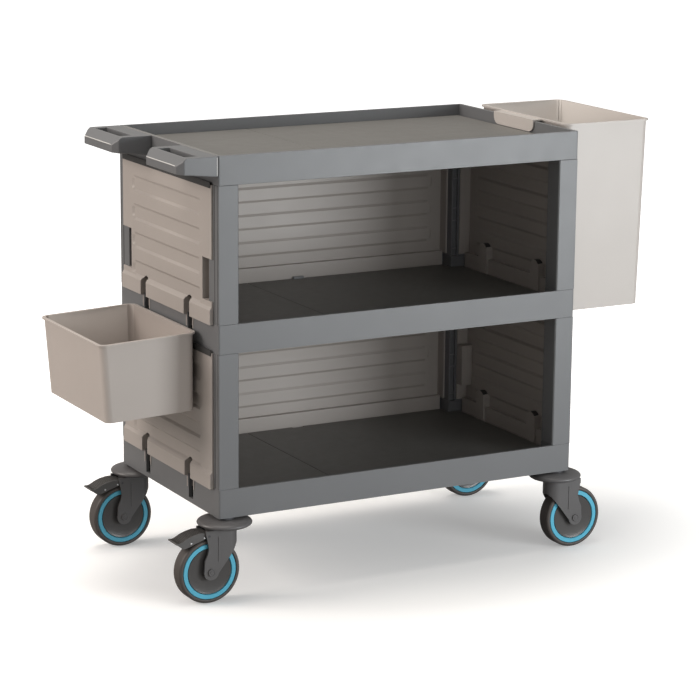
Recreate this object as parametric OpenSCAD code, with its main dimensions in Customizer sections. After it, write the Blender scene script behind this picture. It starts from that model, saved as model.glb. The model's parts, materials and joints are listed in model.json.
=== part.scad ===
// Housekeeping cart: three moulded trays on corner posts, clip-in panels,
// two push handles, two lift-off bins and four swivel castors.
// X runs along the cart, the handles are at -X, Y runs from the open side to the back, Z is up.
// The origin is on the floor under the centre of the trays.

/* [Trays] */
// Length of a tray along X
tray_l = 930; // [700:1:1200]
// Depth of a tray along Y
tray_d = 540; // [460:1:700]
// Height of a tray's skirt
tray_h = 66; // [50:1:90]
// Thickness of the skirt and of the rim
tray_wall = 8; // [5:0.5:12]
// Drop from the rim to the top of the shelf panels
shelf_drop = 27; // [20:1:40]
// Thickness of a shelf panel
shelf_t = 4; // [3:0.5:8]
// Thickness of the tray floor that carries the shelf panels
floor_t = 4; // [3:0.5:8]
// Place of the seam between the two shelf panels, from the left end
shelf_split = 326; // [150:1:500]
// Clear height between one tray's rim and the next tray's skirt
bay_h = 311; // [220:1:420]

/* [Posts] */
// Side of the square corner posts
post = 50; // [40:1:70]
// Radius of the steel tie rod inside each post
rod_r = 6; // [4:0.5:8]
// Width of the accessory channel in a post
channel_w = 14; // [8:1:18]

/* [Panels] */
// Thickness of a panel's sheet
sheet_t = 4; // [3:0.5:6]
// How far a panel laps over the post's outer face
lap = 23; // [10:1:30]
// Depth of the flange that runs along each post
flange_d = 29; // [15:1:35]
// Number of pressed channels in a panel
channels = 4; // [2:1:5]
// Height of one pressed channel
groove_h = 33; // [20:1:40]
// Depth of a pressed channel
groove_t = 4; // [2:0.1:5]
// Width of a pressed channel's sloping side
groove_slope = 6; // [2:0.5:8]
// Distance of the hook slots from the middle of the cart
slot_y = 120; // [80:1:150]
// Width of a hook slot in a tray's skirt
slot_w = 24; // [18:1:30]
// Height of the sill below a hook slot
slot_sill = 11; // [8:1:20]

/* [Handles] */
// Length of a push handle along Y
handle_l = 186; // [140:1:200]
// How far a push handle stands out from the tray
handle_out = 95; // [80:1:120]
// Height of a push handle below the rim
handle_h = 46; // [40:1:60]
// Width of the finger gap along X
finger_w = 30; // [25:1:40]
// Distance from the tray to the finger gap
finger_in = 40; // [30:1:45]

/* [Bins] */
// Size of the tall bin along X at its rim
tall_w = 242; // [180:1:300]
// Size of the tall bin along Y at its rim
tall_d = 404; // [300:1:440]
// Height of the tall bin
tall_h = 454; // [300:1:600]
// Size of the small bin along X at its rim
small_w = 237; // [180:1:300]
// Size of the small bin along Y at its rim
small_d = 358; // [300:1:440]
// Height of the small bin
small_h = 180; // [120:1:240]
// Lean of the small bin on its hooks, in degrees
small_lean = 2.3; // [0:0.1:4]
// Wall of a bin
bin_wall = 3; // [2:0.5:5]
// Outward lip of a bin's rim
bin_lip = 5; // [3:0.5:8]
// Narrowing of the tall bin's wall from rim to base
bin_draft = 8; // [2:1:20]
// Narrowing of the small bin's wall from rim to base
small_draft = 6; // [2:1:16]
// Corner radius of a bin
bin_r = 16; // [12:1:40]

/* [Castors] */
// Radius of a wheel
wheel_r = 75; // [62.5:0.5:80]
// Width of a tyre
tyre_w = 38; // [28:1:42]
// Height of the castor from the floor to the tray
castor_h = 196; // [180:1:215]
// Distance from the swivel axis to the wheel axis
trail = 45; // [35:1:55]
// Radius of the bumper disc
bumper_r = 63; // [50:1:75]
// Radius of the kingpin
kingpin_r = 8; // [6:0.5:10]
// Radius of the wheel axle
axle_r = 4; // [3:0.5:6]

/* [Hidden] */
$fn = 64;

fit = 0.3;          // clearance between pieces that seat on each other
run = 0.06;         // radial clearance of a running shaft
cut = 1;            // overrun of a cutting tool

half_l = tray_l / 2;
half_d = tray_d / 2;
corner_x = half_l - post / 2;
corner_y = half_d - post / 2;

base_z = castor_h;
middle_z = base_z + tray_h + bay_h;
top_z = middle_z + tray_h + bay_h;
cart_top = top_z + tray_h;

floor_drop = shelf_drop + shelf_t;      // rim to the top of the tray floor
under_h = tray_h - floor_drop - floor_t; // hollow under the tray floor
rib_t = 4;
rib_h = 18;
ribs = 2;
tray_r = 4;         // rounding of a tray's outer corners
slot_h = tray_h - slot_sill;
groove_r = 12;      // rounding of a pressed channel's corners
flap_t = 4;         // thickness of the flap that hangs the tall bin on the rim
tongue_t = 5.4;     // thickness of a hook's tongue behind the skirt
pocket_w = slot_w + 6;                       // hook pocket behind a slot
pocket_d = tray_wall + fit + tongue_t + 0.8; // and its depth from the tray's face
dome_in = pocket_d + sheet_t;                // back of the dome over the pocket
ledge_in = tray_wall + cut + sheet_t;        // how far a panel's foot stands in from the face
shelf_gap = 1;      // seam and edge gap of a shelf panel
shelf_end_gap = dome_in + 0.5;               // room for the panel's foot at the ends
shelf_back_gap = ledge_in + 2;               // and at the back
top_end_gap = tray_wall + fit + flap_t + shelf_gap;   // room for the tall bin's flap
top_back_gap = tray_wall + shelf_gap;

rod_gap = 0.2;
stem_l = 40;        // length of the castor's stem in the tray corner
rod_l = top_z + tray_h / 2 - base_z - stem_l - cut;

blue = [0.36, 0.70, 0.80];
tray_grey = [0.44, 0.46, 0.47];
shelf_grey = [0.24, 0.24, 0.23];
panel_grey = [0.68, 0.65, 0.62];
bin_grey = [0.82, 0.79, 0.77];
castor_grey = [0.30, 0.30, 0.31];

// ---------- shared shapes ----------

// Rectangle with true arcs at its corners
module rounded(l, d, r) {
    square([l - 2 * r, d], center = true);
    square([l, d - 2 * r], center = true);
    for (x = [-1, 1], y = [-1, 1])
        translate([x * (l / 2 - r), y * (d / 2 - r)]) circle(r);
}

// Copies of a shape made for the rear right corner, turned out towards a corner
module at_corner(sx, sy) {
    translate([sx * corner_x, sy * corner_y, 0])
        mirror([sx < 0 ? 1 : 0, 0, 0]) mirror([0, sy < 0 ? 1 : 0, 0]) children();
}

module at_corners() {
    for (sx = [-1, 1], sy = [-1, 1]) at_corner(sx, sy) children();
}

// ---------- trays ----------

// The hollow inside the skirt, less the four corner blocks
module tray_hollow(h, blocks) {
    difference() {
        linear_extrude(h) square([tray_l - 2 * tray_wall, tray_d - 2 * tray_wall], center = true);
        if (blocks) at_corners() translate([-post / 2, -post / 2, -cut]) cube([post, post, h + 2 * cut]);
    }
}

module tray_slots() {
    for (sx = [-1, 1], sy = [-1, 1]) {
        translate([sx * (half_l - tray_wall / 2), sy * slot_y, tray_h - slot_h / 2 + cut / 2])
            cube([tray_wall + 2 * cut, slot_w, slot_h + cut], center = true);
        translate([sx * (half_l - pocket_d / 2 - tray_wall / 2), sy * slot_y, tray_h / 2])
            cube([pocket_d - tray_wall, pocket_w, tray_h - 2 * rib_t], center = true);
    }
}

// A tray with its floor, ribs and corner blocks, standing on z = 0
module tray(blocks, slots, stem_hole, through) {
    color(tray_grey) difference() {
        linear_extrude(tray_h) rounded(tray_l, tray_d, tray_r);
        translate([0, 0, tray_h - floor_drop]) tray_hollow(tray_h, blocks);
        difference() {
            translate([0, 0, -cut]) tray_hollow(under_h + cut, true);
            for (i = [1 : ribs])
                translate([-half_l + i * tray_l / (ribs + 1), 0, under_h - rib_h / 2])
                    cube([rib_t, tray_d, rib_h + cut / 2], center = true);
        }
        if (slots) tray_slots();
        at_corners() {
            if (stem_hole) translate([0, 0, -cut]) cylinder(r = rod_r, h = stem_l + cut);
            if (through) translate([0, 0, -cut]) cylinder(r = rod_r + rod_gap, h = tray_h + 2 * cut);
            if (!stem_hole && !through)
                translate([0, 0, -cut]) cylinder(r = rod_r + rod_gap, h = tray_h / 2 + cut);
            if (stem_hole) translate([0, 0, stem_l - cut])
                cylinder(r = rod_r + rod_gap, h = tray_h - stem_l + 2 * cut);
        }
    }
}

module top_tray() translate([0, 0, top_z]) tray(false, false, false, false);

// The middle tray also has a clip that holds the foot of the back panel
module middle_tray() {
    clip = [28, 6, 9];
    translate([0, 0, middle_z]) {
        tray(true, true, false, true);
        color(tray_grey)
            translate([-clip[0] / 2, half_d - ledge_in - fit - clip[1], tray_h - floor_drop - cut])
                cube([clip[0], clip[1], clip[2] + cut]);
    }
}

module base_tray() translate([0, 0, base_z]) tray(true, true, true, false);

// One shelf panel, from x0 to x1, notched round the corner blocks and the clip
module shelf(x0, x1, z, end_gap, back_gap, blocks) {
    split = -half_l + shelf_split;
    a = max(x0, -half_l + end_gap);
    b = min(x1, half_l - end_gap);
    clip_w = 30;
    clip_d = 8;
    color(shelf_grey) translate([0, 0, z + tray_h - floor_drop]) linear_extrude(shelf_t) difference() {
        translate([a, -half_d + tray_wall + shelf_gap])
            square([b - a, tray_d - tray_wall - shelf_gap - back_gap]);
        if (blocks) {
            for (sx = [-1, 1], sy = [-1, 1])
                translate([sx * corner_x, sy * corner_y]) square(post + 2 * shelf_gap, center = true);
            translate([0, half_d - back_gap]) square([clip_w, 2 * clip_d], center = true);
        }
    }
}

module small_shelf(z, end_gap, back_gap, blocks)
    shelf(-tray_l, -half_l + shelf_split - shelf_gap / 2, z, end_gap, back_gap, blocks);
module large_shelf(z, end_gap, back_gap, blocks)
    shelf(-half_l + shelf_split + shelf_gap / 2, tray_l, z, end_gap, back_gap, blocks);

module top_shelf_small() small_shelf(top_z, top_end_gap, top_back_gap, false);
module top_shelf_large() large_shelf(top_z, top_end_gap, top_back_gap, false);
module middle_shelf_small() small_shelf(middle_z, shelf_end_gap, shelf_back_gap, true);
module middle_shelf_large() large_shelf(middle_z, shelf_end_gap, shelf_back_gap, true);
module base_shelf_small() small_shelf(base_z, shelf_end_gap, shelf_back_gap, true);
module base_shelf_large() large_shelf(base_z, shelf_end_gap, shelf_back_gap, true);

// ---------- posts ----------

// Section of the rear right post: outer faces at +x and +y, accessory channel in the -y face
module post_section() {
    h = post / 2;
    wall = 3;
    tube_r = rod_r + 0.5;
    cell = h - wall - tube_r;
    groove = 2;
    channel_d = 6;
    channel_x = -h + 2 + channel_w / 2;
    bevel = 2.5;
    difference() {
        rounded(post, post, 2);
        circle(tube_r);
        translate([h - wall - cell, h - wall - cell]) square(cell);
        translate([-h + wall, h - wall - cell]) square(cell);
        translate([h - wall - cell, -h + wall]) square(cell);
        translate([channel_x - channel_w / 2, -h - cut]) square([channel_w, channel_d + cut]);
        for (y = [h / 5, h - wall - groove])
            translate([h - groove * 0.75, y - groove / 2]) square(groove);
        translate([-h, h]) rotate(45) square(bevel * sqrt(2), center = true);
    }
}

// A post with rungs across its accessory channel
module post_piece(sx, sy, z) {
    h = post / 2;
    rung = 3;
    channel_d = 6;
    color(tray_grey) translate([0, 0, z + tray_h]) at_corner(sx, sy) {
        linear_extrude(bay_h) post_section();
        for (share = [0.05, 0.28, 0.38, 0.62])
            translate([-h + 1, -h + 2, share * bay_h]) cube([channel_w + 2, channel_d, rung]);
    }
}

module upper_post_front_left() post_piece(-1, -1, middle_z);
module upper_post_front_right() post_piece(1, -1, middle_z);
module upper_post_rear_left() post_piece(-1, 1, middle_z);
module upper_post_rear_right() post_piece(1, 1, middle_z);
module lower_post_front_left() post_piece(-1, -1, base_z);
module lower_post_front_right() post_piece(1, -1, base_z);
module lower_post_rear_left() post_piece(-1, 1, base_z);
module lower_post_rear_right() post_piece(1, 1, base_z);

module tie_rods() {
    color("silver") translate([0, 0, base_z + stem_l + cut / 2])
        at_corners() cylinder(r = rod_r, h = rod_l);
}

// ---------- panels ----------

// One pressed channel, cut into a face at y = out: wide at the face and narrower at its floor
module groove(half_w, out) {
    l = 2 * half_w + groove_slope;
    h = groove_h + groove_slope;
    translate([0, out, 0]) rotate([90, 0, 0])
        linear_extrude(groove_t, slices = 1,
            scale = [1 - 2 * groove_slope / l, 1 - 2 * groove_slope / h])
            rounded(l, h, groove_r + groove_slope / 2, $fn = 24);
}

// A hook slot's arch, as tall as h above the foot
module arch(w, h) {
    translate([-w / 2, 0]) square([w, h - w / 2]);
    translate([0, h - w / 2]) circle(w / 2);
}

// Stands a plan shape of (along, up) upright and gives it depth from out0 to out1
module upright(out0, out1) {
    translate([0, out1, 0]) rotate([90, 0, 0]) linear_extrude(out1 - out0) children();
}

// A clip-in panel between two posts. Along x it covers posts that stand at +-inner,
// y is outwards from the tray's outer face, z is up from the tray's rim.
module panel(inner, slots, notched) {
    outer = inner + lap;
    foot = -floor_drop + fit;
    top = bay_h - 1.5;
    ledge = sheet_t;
    apron_out = 9;
    apron_h = 37;
    dome_out = pocket_w + 2 * sheet_t;
    dome_h = 47;
    first = 53;         // height of the lowest channel, and of the space above the top one
    last = 58;
    pitch = (bay_h - first - last) / (channels - 1);
    groove_half = outer - 56;
    notch_z = 49;
    notch_h = 95;
    notch_in = 24;
    flange_x = inner - fit - sheet_t;
    notch_x = inner - fit - notch_in;
    color(panel_grey) difference() {
        union() {
            translate([-outer, fit, -3]) cube([2 * outer, sheet_t, top + 3]);
            translate([-outer, 0, 0]) rotate([90, 0, 90]) linear_extrude(2 * outer)
                polygon([[fit, -3], [apron_out, -3], [apron_out, apron_h - 7],
                    [fit + sheet_t, apron_h], [fit, apron_h]]);
            translate([-flange_x, -ledge_in, ledge]) cube([2 * flange_x, ledge_in + cut, sheet_t]);
            translate([-flange_x, -ledge_in, foot]) cube([2 * flange_x, sheet_t, ledge - foot + cut]);
            for (s = [-1, 1])
                translate([s > 0 ? flange_x : -flange_x - sheet_t, -flange_d, ledge])
                    cube([sheet_t, flange_d + cut, top - ledge]);
            for (i = [0 : channels - 1]) translate([0, 0, first + i * pitch])
                groove(groove_half, fit);
            if (slots) for (s = [-1, 1]) translate([s * slot_y, 0, foot])
                upright(-dome_in, fit + cut) arch(dome_out, dome_h - foot);
            if (notched) for (s = [-1, 1])
                translate([s > 0 ? notch_x - sheet_t : -inner + fit, -flange_d, notch_z - sheet_t])
                    cube([notch_in + sheet_t, flange_d + cut, notch_h + 2 * sheet_t]);
        }
        translate([-outer, -tray_wall - fit, foot - cut])
            cube([2 * outer, tray_wall + 2 * fit, fit + cut - foot]);
        for (i = [0 : channels - 1]) translate([0, 0, first + i * pitch])
            groove(groove_half, fit + sheet_t);
        if (slots) for (s = [-1, 1]) translate([s * slot_y, 0, foot - cut])
            upright(-pocket_d, apron_out + cut) arch(pocket_w, dome_h - sheet_t - foot + cut);
        if (notched) for (s = [-1, 1]) {
            translate([s > 0 ? notch_x : -outer - cut, sheet_t - flange_d, notch_z])
                cube([outer + cut - notch_x, flange_d + apron_out, notch_h]);
        }
    }
}

module end_panel(side, z, notched) {
    translate([side * half_l, 0, z + tray_h]) rotate(side > 0 ? -90 : 90)
        panel(half_d - post, true, notched);
}

module back_panel(z) {
    translate([0, half_d, z + tray_h]) panel(half_l - post, false, false);
}

module upper_left_panel() end_panel(-1, middle_z, true);
module upper_right_panel() end_panel(1, middle_z, false);
module upper_back_panel() back_panel(middle_z);
module lower_left_panel() end_panel(-1, base_z, false);
module lower_right_panel() end_panel(1, base_z, true);
module lower_back_panel() back_panel(base_z);

// ---------- handles ----------

// A push handle whose outer end is at y = 0, reaching out along -x from the tray
module handle() {
    band = 18;          // height of the upright outer face, and of the slope above it
    rise = 10;          // how far the underside rises outwards
    corner = 14;        // bevel at the two outer corners
    end_wall = 20;
    color(tray_grey) difference() {
        translate([0, handle_l, 0]) rotate([90, 0, 0]) linear_extrude(handle_l)
            polygon([[0, 0], [-handle_out, rise], [-handle_out, handle_h - band],
                [-handle_out + band + 2, handle_h], [0, handle_h]]);
        translate([-finger_in - finger_w, end_wall, -cut])
            cube([finger_w, handle_l - 2 * end_wall, handle_h + 2 * cut]);
        for (y = [0, handle_l]) translate([-handle_out, y, handle_h / 2]) rotate(45)
            cube([corner * sqrt(2), corner * sqrt(2), 2 * handle_h], center = true);
    }
}

module front_handle() translate([-half_l, -half_d, cart_top - handle_h]) handle();
module rear_handle() translate([-half_l, half_d - handle_l, cart_top - handle_h]) handle();

// ---------- bins ----------

// An open bin hung with its rim's top at z = 0 and its inner side at x = 0
module bin(w, d, h, draft_x, draft_y) {
    rim_t = 4;
    slice = 0.5;
    cx = w / 2;
    module body(shrink, floor_z) hull() {
        translate([cx, 0, -slice])
            linear_extrude(slice) rounded(w - 2 * bin_lip - 2 * shrink, d - 2 * bin_lip - 2 * shrink,
                bin_r - shrink, $fn = 32);
        translate([cx, 0, floor_z])
            linear_extrude(slice) rounded(w - 2 * bin_lip - 2 * draft_x - 2 * shrink,
                d - 2 * bin_lip - 2 * draft_y - 2 * shrink, bin_r - shrink, $fn = 32);
    }
    difference() {
        union() {
            body(0, -h);
            translate([cx, 0, -rim_t]) linear_extrude(rim_t) rounded(w, d, bin_r + bin_lip, $fn = 32);
        }
        translate([0, 0, slice / 2]) body(bin_wall, -h + bin_wall);
    }
}

// The tall bin hangs on the top tray's right rim by a wide flap
module tall_bin() {
    gap = 11;           // from the tray's face to the bin's rim
    rise = 6;           // from the tray's rim to the bin's rim
    flap_w = 180;
    flap_z = fit + flap_t;
    reach = tray_wall + fit + flap_t;
    color(bin_grey) translate([half_l, 0, cart_top]) {
        translate([gap, 0, rise]) bin(tall_w, tall_d, tall_h, bin_draft, bin_draft);
        translate([-reach, -flap_w / 2, fit]) cube([reach + gap + bin_lip + 1, flap_w, flap_t]);
        translate([-reach, -flap_w / 2, -shelf_drop + 1]) cube([flap_t, flap_w, shelf_drop - 1 + flap_z]);
    }
}

// The small bin hangs on the middle tray's left skirt by two hooks that drop behind it
module small_bin() {
    gap = 8;
    rim_z = middle_z + tray_h - 31;
    hook_w = slot_w - 2;
    arm_t = 8;
    tongue_l = 26;
    arm_z = middle_z + tray_h - slot_h + fit;
    arm_l = tray_wall + fit + tongue_t;
    color(bin_grey) {
        translate([-half_l - gap, 0, rim_z]) rotate([0, -small_lean, 0]) mirror([1, 0, 0])
            bin(small_w, small_d, small_h, small_draft, small_draft / 2);
        for (s = [-1, 1]) translate([-half_l, s * slot_y - hook_w / 2, arm_z]) {
            translate([-gap - bin_lip - 2, 0, 0]) cube([arm_l + gap + bin_lip + 2, hook_w, arm_t]);
            translate([tray_wall + fit, 0, arm_t - tongue_l]) cube([tongue_t, hook_w, tongue_l]);
        }
    }
}

// ---------- castors ----------

disc_top = castor_h - 5;        // top and bottom of the bumper disc
disc_h = 16;
fork_top = disc_top - disc_h - 3;
crown_t = 12;                   // thickness of the fork's top
cheek_in = tyre_w / 2 + 3.5;    // inner and outer face of the fork's cheeks
cheek_t = 5;
cheek_out = cheek_in + cheek_t;
head_r = 20;                    // radius of the kingpin's head inside the bumper
hood_low = fork_top - 40;       // lower edge of the fork's round front
fork_back = 58;                 // back edge of the fork, from the swivel axis
pivot = [50, fork_top - 12];    // pedal pin, from the swivel axis and the floor
pin_r = 3;
pedal_w = 46;
ring_in = wheel_r - 21;         // inner and outer radius of the coloured ring
ring_out = wheel_r - 9.5;

// Places a castor part: trailing to -X on the left side and to +X on the right side
module castor(sx, sy) {
    translate([sx * corner_x, sy * corner_y, 0]) mirror([sx < 0 ? 1 : 0, 0, 0]) children();
}

// Kingpin with its stem: revolved steps from the stem's top down to the retaining collar
module kingpin(sx, sy) {
    collar_z = fork_top - crown_t - fit;
    collar_r = kingpin_r + 4;
    collar_t = 6;
    color("silver") castor(sx, sy) rotate_extrude() polygon([
        [0, castor_h + stem_l], [rod_r, castor_h + stem_l], [rod_r, castor_h],
        [head_r + 4, castor_h], [head_r + 4, disc_top + fit], [head_r, disc_top + fit],
        [head_r, fork_top + fit], [kingpin_r, fork_top + fit], [kingpin_r, collar_z],
        [collar_r, collar_z], [collar_r, collar_z - collar_t], [0, collar_z - collar_t]]);
}

module bumper(sx, sy) {
    edge = disc_h / 2;
    color(castor_grey) castor(sx, sy) translate([0, 0, disc_top - edge]) rotate_extrude() {
        translate([head_r + fit, -edge]) square([bumper_r - edge - head_r - fit, disc_h]);
        intersection() {
            translate([bumper_r - edge, 0]) circle(edge);
            translate([bumper_r - edge, -edge]) square([edge, disc_h]);
        }
    }
}

// One cheek's outline seen from the side: x along the trail, y up
module cheek_outline() {
    front = -31;
    eye_r = 18;
    polygon([[front, fork_top], [front, hood_low + 16], [front + 11, hood_low],
        [trail - 12, wheel_r - 11], [trail + 17, wheel_r + 6], [61, hood_low - 30],
        [54, hood_low - 14], [51, hood_low], [fork_back, hood_low + 32], [fork_back, fork_top]]);
    translate([trail, wheel_r]) circle(eye_r);
}

// A plan shape with a round front about the swivel axis and straight sides behind it
module round_front(half, back) {
    circle(half);
    translate([0, -half]) square([back, 2 * half]);
}

module fork(sx, sy, braked) {
    crown_back = braked ? pivot[0] - 10 : fork_back;
    slot_half = tyre_w / 2 + 1.5;
    reach = trail + wheel_r;
    ridge_u = 24;                // stiffening ridge down the outside of each cheek
    ridge_w = 4;
    ridge_t = 1.2;
    ridge_h = [wheel_r + 24, fork_top - 16];
    color(castor_grey) castor(sx, sy) difference() {
        union() {
            intersection() {
                rotate([90, 0, 0]) translate([0, 0, -cheek_out]) linear_extrude(2 * cheek_out)
                    cheek_outline();
                linear_extrude(castor_h) difference() {
                    round_front(cheek_out, reach);
                    round_front(cheek_in, reach + cut);
                }
            }
            translate([0, 0, fork_top - crown_t]) linear_extrude(crown_t)
                round_front(cheek_out, crown_back);
            for (s = [-1, 1]) translate([ridge_u, s > 0 ? cheek_out - cut : -cheek_out - ridge_t, ridge_h[0]])
                cube([ridge_w, ridge_t + cut, ridge_h[1] - ridge_h[0]]);
        }
        translate([-reach, -slot_half, 0]) cube([reach, 2 * slot_half, hood_low]);
        cylinder(r = kingpin_r + run, h = castor_h);
        translate([trail, 0, wheel_r]) rotate([90, 0, 0])
            cylinder(r = axle_r, h = 4 * cheek_out, center = true);
        if (braked) translate([pivot[0], 0, pivot[1]]) rotate([90, 0, 0])
            cylinder(r = pin_r, h = 4 * cheek_out, center = true);
    }
}

module axle(sx, sy) {
    cap_r = 9;
    cap_t = 3;
    color("silver") castor(sx, sy) translate([trail, 0, wheel_r]) rotate([90, 0, 0]) {
        cylinder(r = axle_r, h = 2 * cheek_out + 2, center = true);
        for (s = [-1, 1]) translate([0, 0, s * (cheek_out + cap_t / 2)])
            cylinder(r = cap_r, h = cap_t, center = true);
    }
}

// Turns a section about the wheel's axle
module on_axle(sx, sy) {
    castor(sx, sy) translate([trail, 0, wheel_r]) rotate([90, 0, 0]) rotate_extrude() children();
}

module hub(sx, sy) {
    boss_r = 14;
    boss_h = cheek_in - fit;
    web = 14;
    rim = tyre_w / 2 - 2;
    rim_t = 7;
    color(castor_grey) on_axle(sx, sy) polygon([
        [axle_r + run, -boss_h], [boss_r, -boss_h], [boss_r + 3, -web], [ring_in - rim_t, -web],
        [ring_in - rim_t + 2, -rim], [ring_in, -rim], [ring_in, rim], [ring_in - rim_t + 2, rim],
        [ring_in - rim_t, web], [boss_r + 3, web], [boss_r, boss_h], [axle_r + run, boss_h]]);
}

module ring(sx, sy) {
    half = tyre_w / 2 - 1;
    color(blue) on_axle(sx, sy) translate([ring_in, -half]) square([ring_out - ring_in, 2 * half]);
}

module tyre(sx, sy) {
    half = tyre_w / 2;
    shoulder = 4;
    color("dimgray") on_axle(sx, sy) union() {
        translate([ring_out, -half]) square([wheel_r - shoulder - ring_out, tyre_w]);
        translate([ring_out, -half + shoulder]) square([wheel_r - ring_out, tyre_w - 2 * shoulder]);
        for (s = [-1, 1]) translate([wheel_r - shoulder, s * (half - shoulder)]) circle(shoulder);
    }
}

// Brake pedal: hinged between the cheeks and wider behind them
module pedal(sy) {
    barrel_r = 6;
    rear = fork_back + 1.5;
    z = fork_top;
    inner_half = cheek_in - 0.5;
    color(castor_grey) castor(-1, sy) difference() {
        rotate([90, 0, 0]) union() {
            translate([pivot[0], pivot[1], -inner_half]) linear_extrude(2 * inner_half) {
                circle(barrel_r);
                translate([0, -barrel_r + 2]) square([rear - pivot[0] + 2, 2 * barrel_r - 2]);
            }
            translate([0, 0, -pedal_w / 2]) linear_extrude(pedal_w)
                polygon([[rear, z - 4], [73, z - 4], [88, z - 7], [102, z - 12], [114, z - 18.5],
                    [121, z - 21], [129, z - 20], [129.5, z - 23], [122, z - 27], [112, z - 35],
                    [104, z - 34], [92, z - 30], [80, z - 25.5], [rear, z - 19]]);
        }
        translate([pivot[0], 0, pivot[1]]) rotate([90, 0, 0])
            cylinder(r = pin_r + run, h = 2 * pedal_w, center = true);
    }
}

module pedal_pin(sy) {
    color("silver") castor(-1, sy) translate([pivot[0], 0, pivot[1]]) rotate([90, 0, 0])
        cylinder(r = pin_r, h = 2 * cheek_out + 1, center = true);
}

module kingpin_front_left() kingpin(-1, -1);
module kingpin_front_right() kingpin(1, -1);
module kingpin_rear_left() kingpin(-1, 1);
module kingpin_rear_right() kingpin(1, 1);
module bumper_front_left() bumper(-1, -1);
module bumper_front_right() bumper(1, -1);
module bumper_rear_left() bumper(-1, 1);
module bumper_rear_right() bumper(1, 1);
module fork_front_left() fork(-1, -1, true);
module fork_front_right() fork(1, -1, false);
module fork_rear_left() fork(-1, 1, true);
module fork_rear_right() fork(1, 1, false);
module axle_front_left() axle(-1, -1);
module axle_front_right() axle(1, -1);
module axle_rear_left() axle(-1, 1);
module axle_rear_right() axle(1, 1);
module hub_front_left() hub(-1, -1);
module hub_front_right() hub(1, -1);
module hub_rear_left() hub(-1, 1);
module hub_rear_right() hub(1, 1);
module ring_front_left() ring(-1, -1);
module ring_front_right() ring(1, -1);
module ring_rear_left() ring(-1, 1);
module ring_rear_right() ring(1, 1);
module tyre_front_left() tyre(-1, -1);
module tyre_front_right() tyre(1, -1);
module tyre_rear_left() tyre(-1, 1);
module tyre_rear_right() tyre(1, 1);
module pedal_front_left() pedal(-1);
module pedal_rear_left() pedal(1);
module pedal_pin_front_left() pedal_pin(-1);
module pedal_pin_rear_left() pedal_pin(1);

// ---------- the nodes ----------

top_tray();
middle_tray();
base_tray();
top_shelf_small();
top_shelf_large();
middle_shelf_small();
middle_shelf_large();
base_shelf_small();
base_shelf_large();
upper_post_front_left();
upper_post_front_right();
upper_post_rear_left();
upper_post_rear_right();
lower_post_front_left();
lower_post_front_right();
lower_post_rear_left();
lower_post_rear_right();
tie_rods();
upper_left_panel();
upper_right_panel();
upper_back_panel();
lower_left_panel();
lower_right_panel();
lower_back_panel();
front_handle();
rear_handle();
tall_bin();
small_bin();
kingpin_front_left();
bumper_front_left();
fork_front_left();
axle_front_left();
hub_front_left();
ring_front_left();
tyre_front_left();
kingpin_front_right();
bumper_front_right();
fork_front_right();
axle_front_right();
hub_front_right();
ring_front_right();
tyre_front_right();
kingpin_rear_left();
bumper_rear_left();
fork_rear_left();
axle_rear_left();
hub_rear_left();
ring_rear_left();
tyre_rear_left();
kingpin_rear_right();
bumper_rear_right();
fork_rear_right();
axle_rear_right();
hub_rear_right();
ring_rear_right();
tyre_rear_right();
pedal_front_left();
pedal_pin_front_left();
pedal_rear_left();
pedal_pin_rear_left();
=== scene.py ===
"""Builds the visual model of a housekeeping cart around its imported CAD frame.

Every sub-assembly is a class that holds its sizes, builds its meshes and dresses them.
Lengths are in metres: +X runs from the push handles to the tall bin, +Y from the open
loading side to the back panels, and +Z is up from the floor.
"""

import json
import logging
import math
from dataclasses import dataclass, field
from enum import Enum

import bmesh
import bpy
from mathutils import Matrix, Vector
from mathutils.bvhtree import BVHTree

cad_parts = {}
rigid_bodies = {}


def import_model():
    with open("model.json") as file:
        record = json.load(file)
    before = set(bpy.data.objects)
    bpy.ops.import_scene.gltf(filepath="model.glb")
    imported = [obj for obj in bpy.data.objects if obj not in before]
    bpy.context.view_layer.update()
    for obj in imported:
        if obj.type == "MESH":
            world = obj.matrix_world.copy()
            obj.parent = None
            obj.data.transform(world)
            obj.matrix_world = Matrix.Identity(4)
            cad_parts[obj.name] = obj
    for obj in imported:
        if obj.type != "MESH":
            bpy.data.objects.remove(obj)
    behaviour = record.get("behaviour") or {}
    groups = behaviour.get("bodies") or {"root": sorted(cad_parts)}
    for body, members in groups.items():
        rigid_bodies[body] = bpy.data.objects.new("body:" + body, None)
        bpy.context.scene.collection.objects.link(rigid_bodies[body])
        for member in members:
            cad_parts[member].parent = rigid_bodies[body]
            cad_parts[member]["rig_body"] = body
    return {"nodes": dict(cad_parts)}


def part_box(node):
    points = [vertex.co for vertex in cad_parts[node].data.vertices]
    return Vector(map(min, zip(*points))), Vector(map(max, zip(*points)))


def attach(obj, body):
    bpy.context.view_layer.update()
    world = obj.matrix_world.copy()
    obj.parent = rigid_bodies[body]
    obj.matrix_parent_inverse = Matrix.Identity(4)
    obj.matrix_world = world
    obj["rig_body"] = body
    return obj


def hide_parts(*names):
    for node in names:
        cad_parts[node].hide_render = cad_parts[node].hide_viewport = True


logging.basicConfig(level=logging.INFO, format="%(name)s: %(message)s")
LOG = logging.getLogger("cart")

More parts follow.
